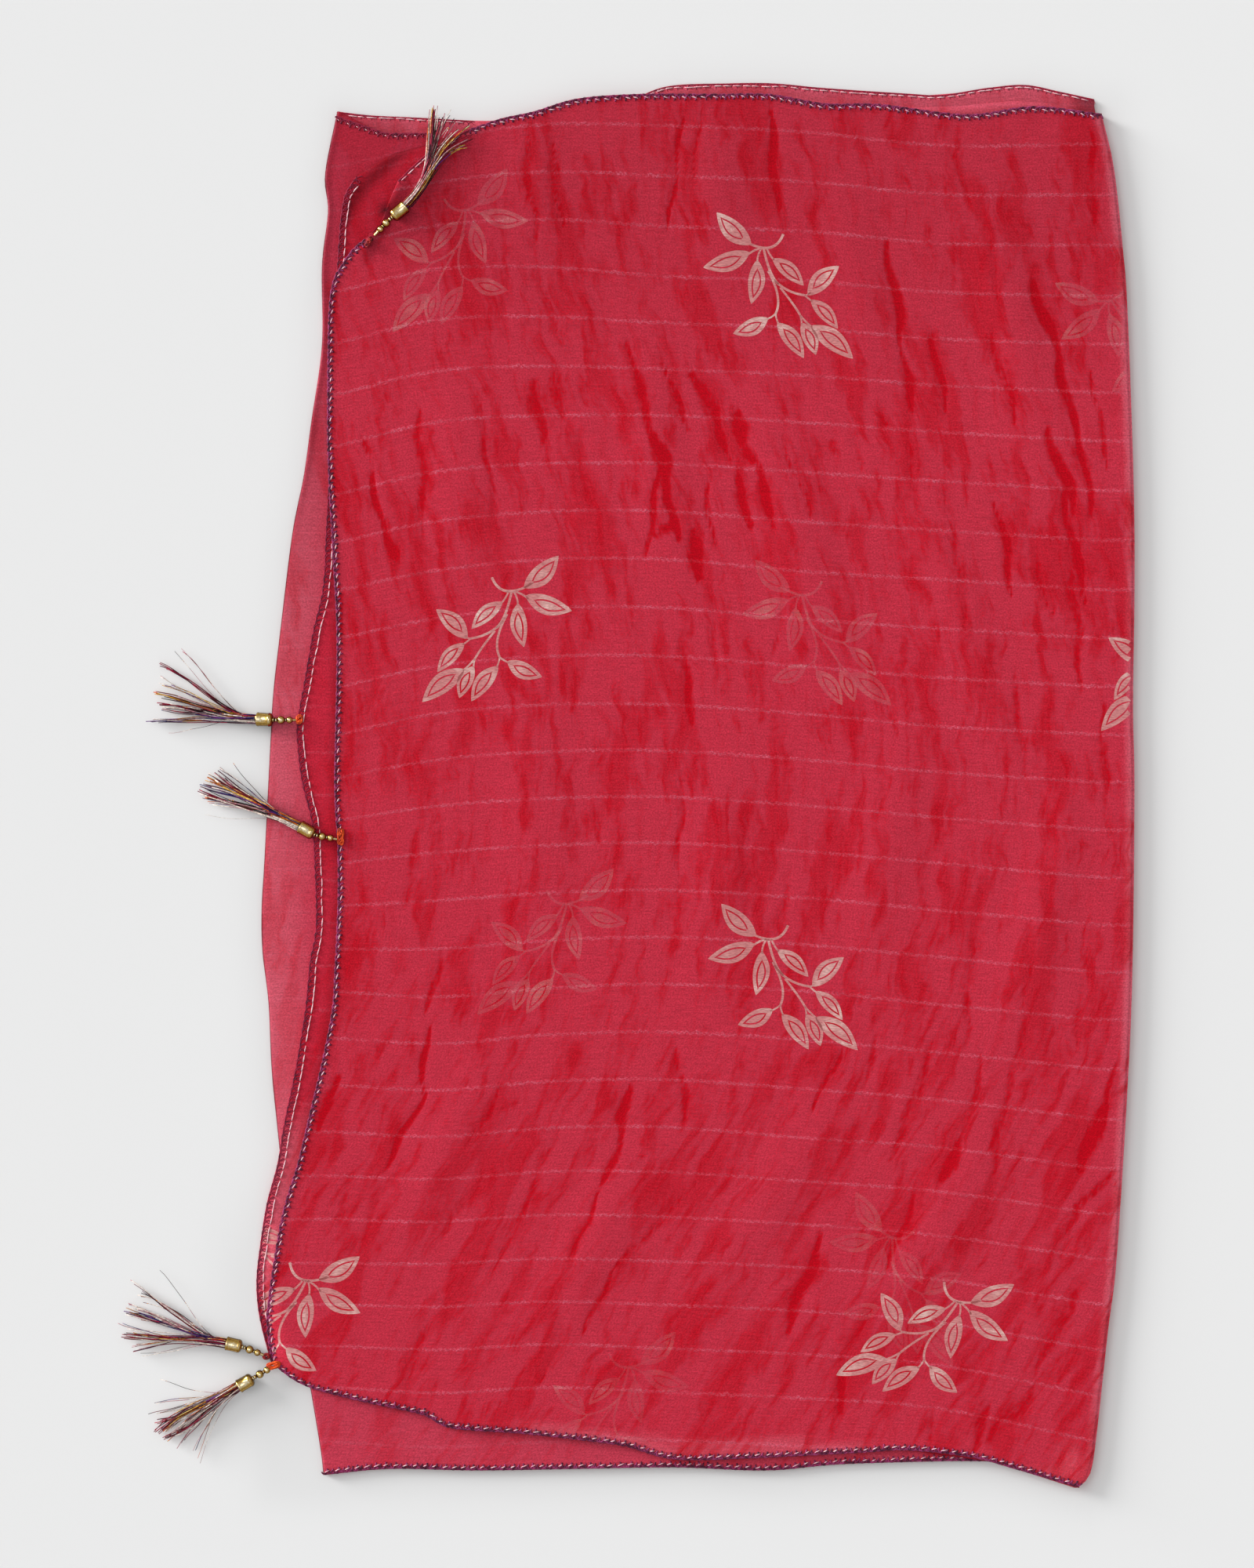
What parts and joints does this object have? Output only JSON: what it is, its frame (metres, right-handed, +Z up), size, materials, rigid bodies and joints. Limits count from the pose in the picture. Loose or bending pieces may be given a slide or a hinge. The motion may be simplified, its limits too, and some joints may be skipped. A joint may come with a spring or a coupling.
{
  "type": "tasselled scarf folded flat",
  "caption": "Thin crimson scarf with printed leaf sprigs, folded twice and laid flat, with brass-capped tassels on its hemmed ends.",
  "frame": {"origin": "under the middle of the whole object's box, on the surface that it lies on", "axes": "+Y along the long edges towards the upper hems, +X towards the outer fold, +Z up from the surface"},
  "size_m": [0.6673, 0.92, 0.0154],
  "materials": {
    "cloth": "semi-sheer plain weave with a slight sheen",
    "brass": "polished",
    "orange_thread": "matt twisted thread",
    "tassel_yarn": "soft silky yarn in mixed colours"
  },
  "bodies": {
    "root": {"top_panel": "cloth", "second_panel": "cloth", "under_fold": "cloth", "tassel_1_knot": "orange_thread", "tassel_1_beads": "brass", "tassel_1_cap": "brass", "tassel_1_strands": "tassel_yarn", "tassel_2_knot": "orange_thread", "tassel_2_beads": "brass", "tassel_2_cap": "brass", "tassel_2_strands": "tassel_yarn", "tassel_3_knot": "orange_thread", "tassel_3_beads": "brass", "tassel_3_cap": "brass", "tassel_3_strands": "tassel_yarn", "tassel_4_knot": "orange_thread", "tassel_4_beads": "brass", "tassel_4_cap": "brass", "tassel_4_strands": "tassel_yarn", "tassel_5_knot": "orange_thread", "tassel_5_beads": "brass", "tassel_5_cap": "brass", "tassel_5_strands": "tassel_yarn"}
  },
  "joints": []
}
